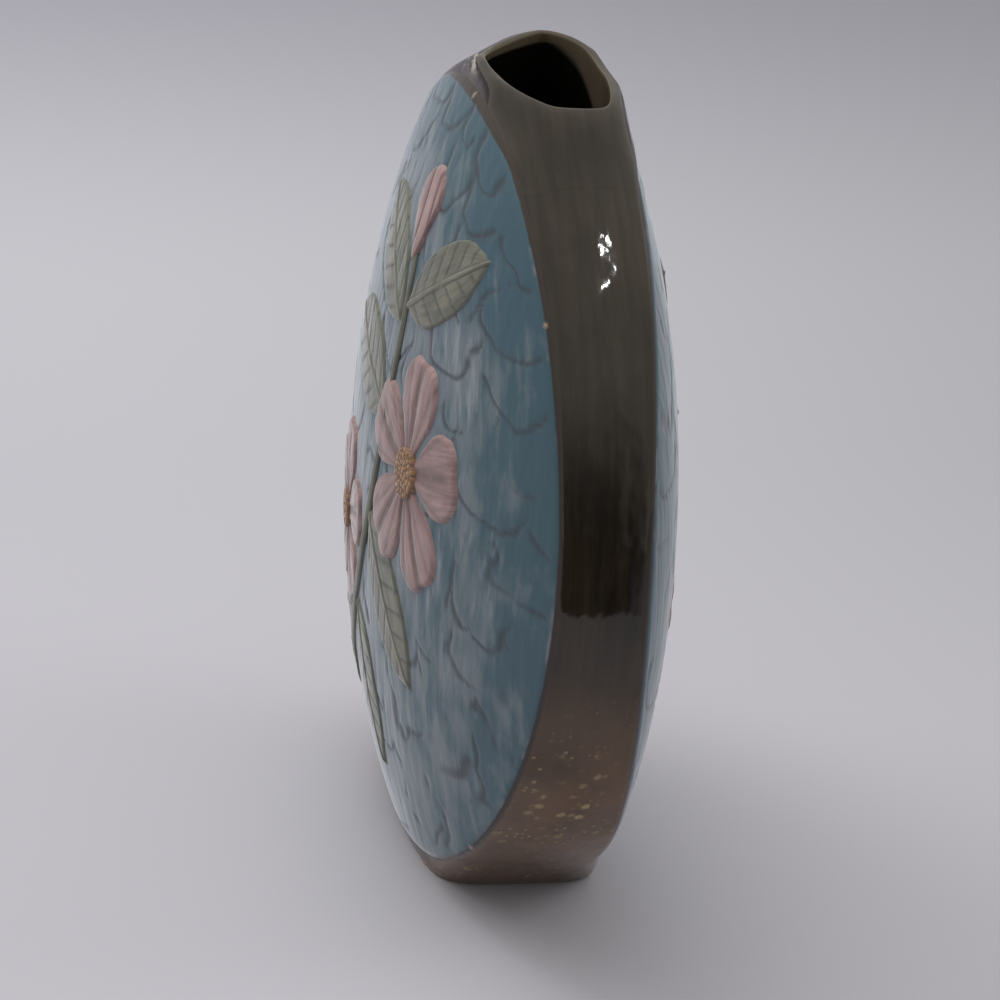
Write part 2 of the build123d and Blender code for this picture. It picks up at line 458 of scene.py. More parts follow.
def makeDarkGlaze():
    look = darkGlazeLook
    material, start, place = newFinish("darkGlaze")
    flow = attribute(start, "glazeFlow", "Vector")
    inside = flow.parts()[2]
    share = attribute(start, "rimShare")
    height = place.parts()[2]
    streaks = flow.stretched((0.42, 0.028, 0.0)).noise(1.0, 4.0, 0.6)
    clouds = place.noise(0.055, 3.0, 0.5)
    grain = place.noise(1.6, 2.0, 0.6)
    # deep brown with olive streaks, warmer towards the foot
    colour = (streaks * 0.6 + clouds * 0.5).band(0.42, 0.72).blend(look["deep"], look["olive"])
    lower = 1.0 - height.band(*look["warmBelow"])
    colour = (lower * (0.45 + 0.55 * clouds.band(0.25, 0.7))).blend(colour, look["warm"])
    # gold flecks, most of them low on the band
    patch = place.noise(0.07, 2.0, 0.5).band(0.4, 0.6)
    low = 1.0 - height.band(*look["flecksBelow"])
    dense = 1.0 - (place.away(look["dense"]) + grain * 6.0).band(*look["denseReach"])
    soft = place.noise(0.7, 3.0, 0.65)
    splash = 1.0 - (place.spots(0.3) + soft * 0.5).band(0.42, 0.7)
    kept = (place.spots(0.3, "Color").parts()[0] + dense * 0.5).band(0.55, 0.8)
    speck = 1.0 - (place.spots(0.6) + soft * 0.4).band(0.36, 0.56)
    keptSpeck = place.spots(0.6, "Color").parts()[1].band(0.45, 0.75)
    splashes = splash * kept * (patch * low * 0.5 + dense * 0.7)
    specks = speck * keptSpeck * low * (0.25 + 0.4 * patch)
    gold = (splashes + specks).band(0.0, 0.95) * 0.85
    colour = gold.blend(colour, look["fleck"])
    # painted light and shade inside the mouth: olive gold on the lit edge of the mouth, painted shade
    # further in, the lit back of the neck painted paler
    colour = inside.band(0.1, 0.9).blend(colour, look["mouth"])
    across, aside = place.parts()[:2]
    lit = aside.band(6.5, 9.0) * (1.0 - (inside - across * 0.36 - 11.5).band(-1.0, 1.5))
    reach = inside - 0.9 * (1.0 - across.band(-26.0, -8.0))
    colour = reach.band(1.3, 2.2).blend(colour, lit.blend(look["dark"], look["neck"]))
    # pale wear on the front of the lip, dark line along the rims, clay at a few chips
    ragged = place.stretched((0.13, 0.34, 0.4)).noise(1.0, 4.0, 0.62)
    nearWear = 1.0 - place.away(look["wear"]).band(*look["wearReach"])
    wear = nearWear * ragged.band(0.47, 0.57) * (1.0 - inside.band(0.1, 0.8))
    colour = (wear * 0.85).blend(colour, look["worn"])
    colour = (share.band(0.94, 0.985) * 0.8).blend(colour, look["rimLine"])
    chips = chipMask(place)
    colour = chips.blend(colour, look["chip"])
    # bare clay under the foot
    bare = 1.0 - (height + grain * 0.7).band(0.45, 0.9)
    colour = bare.blend(colour, look["clay"])
    dull = wear * 0.3 + chips * 0.5 + bare * 0.6 + gold * 0.25
    rough = streaks * 0.06 + look["roughness"] - 0.03 + dull
    ripple = flow.stretched((0.16, 0.09, 0.0)).noise(1.0, 2.0, 0.5)
    relief = ripple * 0.8 + grain * 0.02 + gold * 0.1 - chips * 0.8
    closeFinish(start, {"Base Color": colour, "Roughness": rough, "IOR": 1.52}, relief, 0.3)
    return material


softHaze = {  # pale where seen edge-on
    "Sheen Weight": 0.85,
    "Sheen Roughness": 0.24,
    "Sheen Tint": (0.93, 0.95, 1.0),
}

blueLook = {
    "slate": (0.112, 0.144, 0.166),
    "teal": (0.034, 0.081, 0.108),
    "wash": (0.225, 0.252, 0.272),
    "groove": (0.034, 0.043, 0.055),
    # painted highlight along the rim, in part thin glaze over paler clay
    "edge": (0.26, 0.235, 0.25),
    "rimLine": (0.024, 0.018, 0.014),
    "chip": (0.30, 0.215, 0.17),
    "roughness": 0.44,
    "leanFrom": 95.0,  # brush strokes lean over more and more above this level
    "lean": 0.007,
    "rimShade": (1.0, 30.0),  # distances from the rim over which the painted shade fades, the ground paler further in
    "rimLevels": (30.0, 105.0),  # levels over which that shade gets stronger
    "lapFrom": (169.0, 175.0),  # dark glaze laps over the top of a face
    "lapWidth": 1.9,
}


def makeBlueGround():
    look = blueLook
    material, start, place = newFinish("blueUnderglaze")
    groove = attribute(start, "groove")
    edge = attribute(start, "edgeDistance")
    across, depth, height = place.parts()
    above = height.maths("MAXIMUM", height - look["leanFrom"], 0.0)
    side = depth.maths("SIGN", depth * -1.0)
    lean = across + above * above * look["lean"] * side
    leaning = start.node("ShaderNodeCombineXYZ", None, {"X": lean, "Z": height})
    streaks = leaning.stretched((0.17, 0.0, 0.042)).noise(1.0, 4.0, 0.6)
    fine = leaning.stretched((0.62, 0.0, 0.11)).noise(1.0, 3.0, 0.6)
    clouds = place.noise(0.03, 2.0, 0.5)
    grain = place.noise(2.4, 2.0, 0.6)
    # painted shade: the ground darker and more teal towards the rim, more so higher up
    paintedRimShade = (1.0 - edge.band(*look["rimShade"])) * (0.45 + 0.55 * height.band(*look["rimLevels"]))
    blots = place.noise(0.1, 3.0, 0.55)
    mixed = streaks * 0.5 + blots * 0.42 + clouds * 0.22 - paintedRimShade * 0.18
    colour = mixed.band(0.43, 0.61).blend(look["teal"], look["slate"])
    washed = (streaks * 0.8 + fine * 0.5 - paintedRimShade * 0.16).band(0.64, 0.86)
    colour = (washed * 0.8).blend(colour, look["wash"])
    colour = (groove * (0.7 + 0.3 * fine)).blend(colour, look["groove"])
    # painted highlight along the rim in broken patches, in part thin glaze over paler clay
    lit = (1.0 - edge.band(0.6, 1.2)) * place.noise(0.06, 3.0, 0.6).band(0.5, 0.62)
    colour = (lit * 0.5).blend(colour, look["edge"])
    lap = height.band(*look["lapFrom"]) * look["lapWidth"]
    line = 1.0 - (edge + fine * 0.4 - lap).band(0.45, 0.8)
    colour = line.blend(colour, look["rimLine"])
    chips = chipMask(place)
    colour = chips.blend(colour, look["chip"])
    rough = fine * 0.16 + look["roughness"] - 0.08 + groove * 0.1
    relief = streaks * 0.6 + fine * 0.16 + grain * 0.08 - chips * 0.5
    closeFinish(start, {"Base Color": colour, "Roughness": rough, **softHaze}, relief, 0.28)
    return material


def makeRelief(name, look):  # painted clay: darker in the grooves, painted highlight on the raised tops, painted shade round the foot of each piece, brush marks along the blade
    material, start, place = newFinish(name)
    blade = attribute(start, "bladePlace", "Vector")
    along, _, rise = blade.parts()
    groove = attribute(start, "groove")
    brushed = blade.stretched((2.2, 11.0, 0.0)).noise(1.0, 4.0, 0.6)
    clouds = place.noise(0.16, 3.0, 0.5)
    grain = place.noise(2.2, 2.0, 0.6)
    colour = (brushed * 0.6 + clouds * 0.5).band(0.4, 0.7).blend(look["shade"], look["base"])
    # painted highlight on the raised tops, broken by the brush marks
    colour = (rise.band(0.55, 1.0) * brushed.band(0.35, 0.7) * 0.8).blend(colour, look["topHighlight"])
    if "foot" in look:
        colour = along.band(0.0, 0.4).blend(look["foot"], colour)
    colour = (groove * 0.85).blend(colour, look["groove"])
    # painted shade round the foot of each piece, where it sinks into the ground
    footShade = 1.0 - rise.band(0.02, 0.3)
    colour = (footShade * 0.7).blend(colour, look["groove"])
    rough = brushed * 0.15 + look["roughness"]
    relief = brushed * 0.5 + grain * 0.2
    closeFinish(start, {"Base Color": colour, "Roughness": rough, **softHaze}, relief, 0.22)
    return material


pinkLook = {
    "base": (0.315, 0.205, 0.195),
    "shade": (0.215, 0.137, 0.132),
    "topHighlight": (0.40, 0.275, 0.255),
    "foot": (0.20, 0.115, 0.10),
    "groove": (0.12, 0.074, 0.072),
    "roughness": 0.44,
}
sageLook = {
    "base": (0.136, 0.134, 0.102),
    "shade": (0.086, 0.090, 0.073),
    "topHighlight": (0.205, 0.197, 0.146),
    "groove": (0.052, 0.054, 0.046),
    "roughness": 0.44,
}
heartLook = {
    "base": (0.30, 0.165, 0.085),
    "shade": (0.19, 0.098, 0.052),
    "topHighlight": (0.42, 0.27, 0.14),
    "groove": (0.09, 0.048, 0.03),
    "roughness": 0.46,
}
clayLook = {"base": (0.33, 0.235, 0.17), "dark": (0.21, 0.145, 0.10), "roughness": 0.72}
insideLook = {"base": (0.03, 0.024, 0.014), "dark": (0.012, 0.01, 0.007), "roughness": 0.3}


def makePlain(name, look):  # clay or inner glaze that is only seen through the mouth
    material, start, place = newFinish(name)
    clouds = place.noise(0.2, 4.0, 0.6)
    grain = place.noise(1.8, 3.0, 0.6)
    colour = clouds.band(0.35, 0.65).blend(look["dark"], look["base"])
    rough = grain * 0.2 + look["roughness"] - 0.1
    closeFinish(start, {"Base Color": colour, "Roughness": rough}, grain, 0.2)
    return material


darkGlaze = makeDarkGlaze()
blueGround = makeBlueGround()
pinkClay = makeRelief("pinkUnderglaze", pinkLook)
sageClay = makeRelief("sageUnderglaze", sageLook)
heartClay = makeRelief("blossomHeart", heartLook)
rawClay = makePlain("rawClay", clayLook)
insideGlaze = makePlain("insideGlaze", insideLook)
print("finishes ready:", len(bpy.data.materials))

# Band: strips down both sides and the foot slab
strip = {
    "acrossSteps": 44,
    "insideSteps": 8,
    "rowLength": 1.1,
    "hold": 0.26,  # how far inside the rims the end normals are taken
}
acrossShares = np.sin(np.linspace(-1, 1, strip["acrossSteps"]) * math.pi / 2)  # closest at the rims


def addGlazed(name, rings, poles, flows, rims, normals, turnOver=False):
    attributes = {"glazeFlow": np.concatenate(flows), "rimShare": np.concatenate(rims)}
    mesh = ringMesh(name, rings, poles, attributes, np.concatenate(normals), turnOver)
    return addPiece(name, mesh, darkGlaze, "dark_glaze", name)


def makeStrip(name, firstAngle, lastAngle):
    rows = int(abs(lastAngle - firstAngle) * body["faceRadius"] / strip["rowLength"]) + 1
    shares = acrossShares
    back = np.linspace(1, -1, strip["insideSteps"])
    rings, flows, rims, normals = [], [], [], []
    for angle in np.linspace(firstAngle, lastAngle, rows):
        low, high = (edgeY(np.array([angle]), side)[0] for side in (-1, 1))
        y = low + (high - low) * (shares + 1) / 2
        outer = bandSurface(angle, y)
        inner = innerPoint(np.full_like(back, angle), back)
        rings.append(np.concatenate([outer, inner]))
        along = np.full_like(shares, alongBand(angle))
        flow = np.stack([y, along, 0 * shares], -1)
        flows.append(np.concatenate([flow, np.zeros((len(back), 3))]))
        rims.append(np.concatenate([np.abs(shares), 0 * back]))
        held = np.zeros((len(shares) + len(back), 3))
        if angle in (firstAngle, lastAngle):
            within = np.clip(y, low + strip["hold"], high - strip["hold"])
            held[: len(shares)] = bandNormal(np.full_like(shares, angle), within)
        normals.append(held)
    poles = [rings[0].mean(0), rings[-1].mean(0)]
    return addGlazed(name, rings, poles, flows, rims, normals, turnOver=True)


makeStrip("right_side_band", neck["pieceAngle"], foot["pieceAngle"])
makeStrip("base_slab", foot["pieceAngle"], 2 * math.pi - foot["pieceAngle"])
makeStrip("left_side_band", 2 * math.pi - foot["pieceAngle"], 2 * math.pi - neck["pieceAngle"])
print("band ready")

# Lip: a ring of clay round a pinched, almond-shaped mouth
lip = {
    "mouth": [
        (-27.4, 6.7),
        (-27.2, 6.3),
        (-20.6, -1.7),
        (-12.2, -9.9),
        (2.5, -10.2),
        (13.4, -8.2),
        (21.6, -3.6),
        (23.4, 2.7),
        (22.0, 8.4),
        (15.6, 10.9),
        (1.8, 12.9),
        (-14.4, 12.6),
        (-22.2, 10.0),
        (-27.0, 6.9),
    ],
    "middle": (-1.5, 0.4),
    "reach": (26.0, 11.5),  # half length and half width of the mouth, to spread the rings evenly
    "stretch": 2.0,
    "wallFoot": 160.0,  # level where the inside of the neck ends
    "edge": 1.1,  # rounding of the inner edge
    "rimSteps": 84,
    "steps": 30,
    "wallSteps": 10,
}


def smoothLoop(points, count):  # a closed curve through a few points
    p = np.array(points, float)
    n = len(p)
    s = np.linspace(0, n, count, endpoint=False)
    k = s.astype(int)
    u = (s - k)[:, None]
    a, b, c, d = p[(k - 1) % n], p[k], p[(k + 1) % n], p[(k + 2) % n]
    square = (2 * a - 5 * b + 4 * c - d) * u**2
    cube = (3 * b - a - 3 * c + d) * u**3
    return 0.5 * (2 * b + (c - a) * u + square + cube)


def mouthAt(bearing):  # point of the mouth's outline that lies that way from its middle
    outline = smoothLoop(lip["mouth"], 720) - np.array(lip["middle"])
    ways = np.arctan2(outline[:, 1] * lip["stretch"], outline[:, 0])
    order = np.argsort(ways)
    ways, outline = ways[order], outline[order]
    ways = np.concatenate([ways - 2 * math.pi, ways, ways + 2 * math.pi])
    outline = np.concatenate([outline] * 3)
    found = [np.interp(bearing, ways, outline[:, k]) for k in (0, 1)]
    return np.stack(found, -1) + np.array(lip["middle"])


def makeLip():
    end = neck["pieceAngle"]
    shares = acrossShares
    sweep = np.linspace(-end, end, lip["rimSteps"])
    one = np.ones_like(sweep)
    angles = np.concatenate([sweep[:-1], end + 0 * shares[:-1], sweep[:0:-1], -end + 0 * shares[:0:-1]])
    sides = np.concatenate([-one[:-1], shares[:-1], one[:0:-1], shares[:0:-1]])
    ends = np.concatenate([0 * one[:-1], 1 + 0 * shares[:-1], 0 * one[:0:-1], 1 + 0 * shares[:0:-1]])
    low, high = edgeY(angles, -1), edgeY(angles, 1)
    edges = low + (high - low) * (sides + 1) / 2
    bounds = bandSurface(angles, edges)
    reachX = lip["reach"][0] / np.abs(bounds[:, 0]).max()
    reachY = lip["reach"][1] / high.max()
    hole = mouthAt(np.arctan2((bounds[:, 1] * reachY) * lip["stretch"], bounds[:, 0] * reachX))
    holeAngles = np.arctan2(hole[:, 0], topRise)
    lengths = np.hypot(bounds[:, 0] - hole[:, 0], bounds[:, 1] - hole[:, 1])
    rings, flows, rims, normals = [], [], [], []
    blank = np.zeros((len(angles), 3))
    for k in range(lip["steps"] + 1):
        s = 0.5 - 0.5 * math.cos(math.pi * k / lip["steps"])
        angle = holeAngles + (angles - holeAngles) * s
        y = hole[:, 1] + (edges - hole[:, 1]) * s
        points = bandSurface(angle, y)
        near = np.clip(lip["edge"] - s * lengths, 0, lip["edge"])
        points[:, 2] -= lip["edge"] - np.sqrt(lip["edge"] ** 2 - near**2)
        rings.append(points)
        flows.append(np.stack([y, alongBand(angle), near / lip["edge"]], -1))
        rims.append(np.abs(y) / np.abs(edgeY(angle, np.where(y > 0, 1, -1))))
        normals.append(blank)
    last = bandNormal(angles, np.clip(edges, low + strip["hold"], high - strip["hold"]))
    normals[-1] = np.where(ends[:, None] > 0, last, 0)
    inner = innerPoint(angles, sides)
    rings.append(inner)
    crest = rings[0]
    for k in range(lip["wallSteps"], 0, -1):
        depth = (crest[:, 2] - lip["wallFoot"]) * k / lip["wallSteps"]
        wallPoints = crest.copy()
        wallPoints[:, 2] -= depth
        rings.append(wallPoints)
    for points in rings[len(flows):]:
        depth = np.maximum(crest[:, 2] - points[:, 2], 0) + 1
        flows.append(np.stack([points[:, 1], alongBand(holeAngles), depth], -1))
        rims.append(np.zeros(len(angles)))
        normals.append(blank)
    return addGlazed("mouth_lip", rings, None, flows, rims, normals)


makeLip()
print("lip ready")

# Faces: domed slabs with tooled ripples in the ground
face = {
    "around": 512,
    "rings": 150,
    "insideRings": 14,
    "scallop": 23.0,  # width of a tooled ripple, and height of a row of them
    "row": 12.5,
    "lineHalf": 0.7,
    "lineDepth": 0.2,
    "brushDepth": 0.05,
    "rimBlend": 16.0,  # how far in a face is drawn out to a rim that stands proud of it
}


def toolMarks(x, up, seed):  # 0 on the ground, 1 at the bottom of a tooled line; rows of open scallops
    x = x + 5.0 * softNoise(x / 16, up / 9, seed) + 1.6 * softNoise(x / 5, up / 4, seed + 1)
    up = up + 3.4 * softNoise(x / 13, up / 11, seed + 2) + 0.9 * softNoise(x / 4, up / 4, seed + 9)
    found = np.zeros_like(x)
    for step in (-1, 0, 1):
        row = np.floor(up / face["row"]) + step
        width = face["scallop"] * (0.8 + 0.45 * lattice(row, 0 * row, seed + 3))
        place = x / width + 7 * lattice(row, 0 * row + 1, seed)
        number = np.floor(place)
        side = 2 * (place - number) - 1
        deep = face["row"] * (0.5 + 0.5 * lattice(row, number, seed + 4))
        line = face["row"] * row + deep * np.abs(side) ** 3
        slope = deep * 6 * side**2 / width
        away = np.abs(up - line) / np.sqrt(1 + (2.6 * slope) ** 2)
        kept = lattice(row, number, seed + 6) + 0.75 * softNoise(x / 8, up / 5, seed + 7) + 0.004 * up
        broken = ease(kept, 0.22, 0.6)
        half = face["lineHalf"] * (1 + 0.45 * softNoise(x / 5, up / 4, seed + 8))
        found = np.maximum(found, (1 - ease(away, 0.1 * half, half)) * broken)
    return found


def makeFace(name, side):
    around = np.linspace(0, 2 * math.pi, face["around"], endpoint=False)
    rim = bandSurface(around, edgeY(around, side))
    rimRadius = np.hypot(rim[:, 0], rim[:, 2] - centreHeight)
    overhang = faceHalf(rim[:, 0], rim[:, 2]) - np.abs(rim[:, 1])
    inward = np.linspace(0, 1, face["rings"]) ** 0.93
    rings, grooves, edges = [], [], []
    for q in inward[1:]:
        x, z = onDisc(around, rimRadius * q)
        left = rimRadius * (1 - q)
        marks = toolMarks(side * -x, z - centreHeight, 11 + side) * ease(left, 0.8, 3.0)
        brush = softNoise(x / 1.7, z / 11, 21) + 0.6 * softNoise(x / 0.9 + 3, z / 7, 22)
        rolled = np.where(overhang > 0, body["rimRollWidth"], face["rimBlend"])
        y = faceHalf(x, z) - overhang * np.clip(1 - left / rolled, 0, 1) ** 2
        y = y - face["lineDepth"] * marks + face["brushDepth"] * brush * ease(left, 0.3, 4.0)
        rings.append(np.stack([x, side * y, z], -1))
        grooves.append(marks)
        edges.append(left)
    for q in np.linspace(1, 0, face["insideRings"], endpoint=False):
        x, z = onDisc(around, hollowRadius * q)
        rings.append(np.stack([x, side * faceHalf(x, z, -slabThickness(x, z)), z], -1))
        grooves.append(0 * around)
        edges.append(0 * around + 20)
    middle = np.array([0.0, side * faceHalf(0.0, centreHeight), centreHeight])
    poles = [middle, middle - np.array([0, side * body["wall"], 0])]
    attributes = {"groove": np.concatenate(grooves), "edgeDistance": np.concatenate(edges)}
    mesh = ringMesh(name, rings, poles, attributes, turnOver=side > 0)
    piece = addPiece(name, mesh, blueGround, "blue_underglaze", name)
    mesh.materials.append(insideGlaze)
    firstInside = (len(inward) - 1) * face["around"]
    backs = [int(min(p.vertices) >= firstInside - face["around"]) for p in mesh.polygons]
    mesh.polygons.foreach_set("material_index", backs)
    return piece


makeFace("front_wall", -1)
makeFace("back_wall", 1)
print("faces ready")

# Relief, in places across and up from the middle of the disc, in hundredths of its radius
relief = {
    "unit": body["faceRadius"] / 100,
    "stemPoints": [(-41, -71), (-14, -43), (3, -9), (10, 27), (5, 59)],
    "stemWidth": 3.4,
    "stemRise": 0.85,
    "bud": (5, 55, 98, 27),
    "budRise": 1.15,
    "budAngle": 26.0,
    "blossoms": [(31, 11, 32), (-29, -23, 26)],
    "petalRise": 1.05,
    "petals": 5,
    "petalAngle": 34.0,
    "heartShare": 0.22,
    "heartRise": 1.55,
    "leaves": [
        (8, 46, 34, 48),
        (8, 41, 150, 50),
        (9, 18, 166, 53),
        (3, -9, -42, 53),
        (-9, -38, -66, 46),
        (-16, -46, 196, 37),
        (-27, -58, -128, 27),
    ],
    "leafRise": 0.75,
    "leafFullness": 0.23,
    "sunk": 0.7,  # how deep a piece sits in the ground
    "backDepth": 0.3,  # how much deeper its back lies
    "petalNotch": 0.07,
    "leafSteps": (128, 26),  # points round the outline and rings inside it
    "petalSteps": (96, 22),
    "budSteps": (96, 20),
    "heartSteps": (96, 18),
    "stemSteps": (20, 160),  # points round the stem and rings along it
}


def onFace(across, up, rise):  # a place on the front face, raised above the ground
    z = centreHeight + up
    return np.stack([across, -(faceHalf(across, z) + rise), z], -1)


def pad(outline, steps, shape, place):  # raised piece inside an outline, its height given by shape
    middle = outline.mean(0)
    under = -relief["sunk"] - relief["backDepth"]
    rings, blades, grooves = [], [], []
    x0, y0, heading = place
    turn = np.array([[math.cos(heading), -math.sin(heading)], [math.sin(heading), math.cos(heading)]])
    for q in np.linspace(0, 1, steps + 1)[1:]:
        q = 1 - (1 - q) ** 1.5
        local = middle + (outline - middle) * q
        rise, groove, blade = shape(local[:, 0], local[:, 1], q)
        drop = ease(q, 0.86, 1.0) ** 1.6
        rise = rise * (1 - drop) - relief["sunk"] * drop
        flat = local @ turn.T + np.array([x0, y0])
        rings.append(onFace(flat[:, 0], flat[:, 1], rise))
        blades.append(blade)
        grooves.append(groove)
    for q in (0.8, 0.35):
        flat = (middle + (outline - middle) * q) @ turn.T + np.array([x0, y0])
        rings.append(onFace(flat[:, 0], flat[:, 1], np.full(len(flat), under)))
        blades.append(0 * blades[0])
        grooves.append(0 * grooves[0])
    rise, _, _ = shape(middle[:1], middle[1:], 0.0)
    flat = turn @ middle + np.array([x0, y0])
    poles = [onFace(flat[0], flat[1], rise[0]), onFace(flat[0], flat[1], under)]
    return rings, poles, np.concatenate(blades), np.concatenate(grooves)


def endSteps(count):  # from 0 to 1, closest at both ends
    return 0.5 - 0.5 * np.cos(np.linspace(0, math.pi, count // 2 + 1))


def bothSides(x, half):  # closed outline, the same on both sides of its axis
    top = np.stack([x, half], -1)
    return np.concatenate([top, (top * [1, -1])[-2:0:-1]])


def petalOutline(length, angle, count, notch):
    wide = math.radians(angle)
    roundRadius = length * math.sin(wide) / (1 + math.sin(wide))
    centre = length - roundRadius
    touch = centre - roundRadius * math.sin(wide)
    x = 0.06 * length + endSteps(count) * 0.94 * length
    cap = np.sqrt(np.maximum(roundRadius**2 - (x - centre) ** 2, 0))
    half = np.where(x < touch, x * math.tan(wide), cap)
    loop = bothSides(x, half)
    middle = np.exp(-((loop[:, 1] / (0.16 * length)) ** 2))
    loop[:, 0] -= notch * length * middle * ease(loop[:, 0], 0.7 * length, length)
    return loop[::-1]


def petalShape(length, rise, seed):
    def shape(x, y, q):
        along = x / length
        way = np.arctan2(y, np.maximum(x, 0.02 * length))
        veins = np.abs(np.sin(way * 11 + seed)) ** 0.5
        crease = np.exp(-((y / (0.035 * length + 0.02 * x)) ** 2)) * ease(along, 1.0, 0.7)
        cup = 0.62 + 0.38 * ease(along, 0.25, 0.85) - 0.16 * ease(along, 0.88, 1.0)
        height = rise * cup * (1 - 0.22 * q * q) - 0.16 * (1 - veins) - 0.3 * crease
        height = height + 0.08 * softNoise(x / 3.1, y / 3.1, seed)
        groove = np.clip(0.75 * (1 - veins) + crease, 0, 1) * np.ones_like(x)
        blade = np.stack([along, y / (0.4 * length), np.clip(height / rise, 0, 1)], -1)
        return height, groove, blade

    return shape


def heartShape(radius, rise, seed):
    def shape(x, y, q):
        pebble = ease(cellEdge(x / 1.5, y / 1.5, seed), 0.0, 0.35)
        dome = np.sqrt(np.clip(1 - (x**2 + y**2) / radius**2, 0, 1))
        height = rise * (0.62 + 0.38 * dome) - 0.3 * (1 - pebble)
        blade = np.stack([x / radius, y / radius, np.clip(height / rise, 0, 1)], -1)
        return height, 1 - pebble, blade

    return shape


def leafShape(length, rise, seed):
    def shape(x, y, q):
        along = x / length
        half = 4 * relief["leafFullness"] * length * np.maximum(along * (1 - along), 0.02)
        aside = y / half
        rib = np.exp(-((y / (0.55 + 0.3 * (1 - along))) ** 2))
        step = length / 7.5
        ribAway = np.abs(y)
        vein = np.abs(np.sin(math.pi * (x - 0.75 * ribAway) / step))
        vein = (1 - ease(vein, 0.0, 0.34)) * ease(ribAway, 0.5, 1.6)
        swellUp = 0.62 + 0.2 * (1 - np.clip(aside, -1, 1) ** 2)
        besideRib = 0.1 * ease(rib, 0.05, 0.3) * (1 - ease(rib, 0.4, 0.8))
        height = rise * swellUp + 0.24 * rib - 0.2 * vein - besideRib
        height = height + 0.1 * softNoise(x / 4, y / 4, seed)
        groove = np.clip(0.9 * vein + 0.8 * ease(rib, 0.03, 0.25) * (1 - ease(rib, 0.35, 0.75)), 0, 1)
        blade = np.stack([along, 0.5 * aside, np.clip(height / rise, 0, 1)], -1)
        return height, groove, blade

    return shape


def budShape(length, rise):
    def shape(x, y, q):
        along = x / length
        fold = y / (0.3 * length) + 0.25 * np.sin(along * 3)
        crease = np.exp(-(((fold - 0.35) / 0.09) ** 2)) + np.exp(-(((fold + 0.4) / 0.09) ** 2))
        crease = crease * ease(along, 0.15, 0.4)
        height = rise * (0.6 + 0.4 * np.sqrt(np.clip(1 - q * q, 0, 1))) - 0.3 * crease
        blade = np.stack([along, fold, np.clip(height / rise, 0, 1)], -1)
        return height, np.clip(crease, 0, 1), blade

    return shape


def leafOutline(length, count):
    s = endSteps(count)
    x = length * s
    bulge = relief["leafFullness"] * length
    radius = arcRadius(length / 2, bulge)
    half = np.sqrt(radius**2 - (x - length / 2) ** 2) - (radius - bulge)
    half = half * (1 + 0.05 * np.sin(s * 9))
    return bothSides(x, half)[::-1]


def mergeRings(name, built):  # one mesh of several closed pads
    meshes = []
    for k, (rings, poles, blades, grooves) in enumerate(built):
        attributes = {"bladePlace": blades, "groove": grooves}
        meshes.append(ringMesh(f"{name}.{k}", rings, poles, attributes))
    if len(meshes) == 1:
        return meshes[0]
    parts = [addObject(mesh.name, mesh) for mesh in meshes]
    with bpy.context.temp_override(active_object=parts[0], selected_editable_objects=parts):
        bpy.ops.object.join()
    mesh = parts[0].data
    bpy.data.objects.remove(parts[0])
    return mesh


def onBothFaces(kind, built, finish, slotName):
    halfTurn = np.array([-1, -1, 1])
    turned = []
    for rings, poles, blades, grooves in built:
        turned.append(([r * halfTurn for r in rings], [p * halfTurn for p in poles], blades, grooves))
    for side, pads in (("front", built), ("back", turned)):
        name = f"{side}_{kind}"
        addPiece(name, mergeRings(name, pads), finish, slotName, name)


def stemRings():
    points = np.array(relief["stemPoints"], float) * relief["unit"]
    knots = np.linspace(0, 1, len(points))
    curve = [np.polyfit(knots, points[:, k], 4) for k in (0, 1)]
    around, steps = relief["stemSteps"]
    s = np.linspace(0, 1, steps)
    path = np.stack([np.polyval(c, s) for c in curve], -1)
    ahead = np.gradient(path, axis=0)
    ahead /= np.linalg.norm(ahead, axis=1, keepdims=True)
    aside = np.stack([-ahead[:, 1], ahead[:, 0]], -1)
    turns = np.linspace(0, 2 * math.pi, around, endpoint=False)
    rings, blades, grooves = [], [], []
    for k in range(steps):
        thin = 0.62 + 0.38 * math.sin(math.pi * min(1, 0.25 + s[k]))
        half = relief["stemWidth"] / 2 * thin * (1 + 0.1 * math.sin(s[k] * 40))
        across = -np.cos(turns) * half
        upward = np.sin(turns)
        rise = upward * np.where(upward > 0, relief["stemRise"], relief["sunk"])
        rise = rise - 0.18 * np.exp(-(((across / half + 0.25) / 0.16) ** 2)) * (upward > 0)
        flat = path[k] + across[:, None] * aside[k]
        rings.append(onFace(flat[:, 0], flat[:, 1], rise))
        line = np.exp(-(((across / half + 0.25) / 0.2) ** 2)) * (upward > 0)
        grooves.append(0.8 * line)
        blade = [0 * turns + s[k] * 5, across / half * 0.3, np.clip(upward, 0, 1)]
        blades.append(np.stack(blade, -1))
    poles = [rings[0].mean(0), rings[-1].mean(0)]
    return [(rings, poles, np.concatenate(blades), np.concatenate(grooves))]


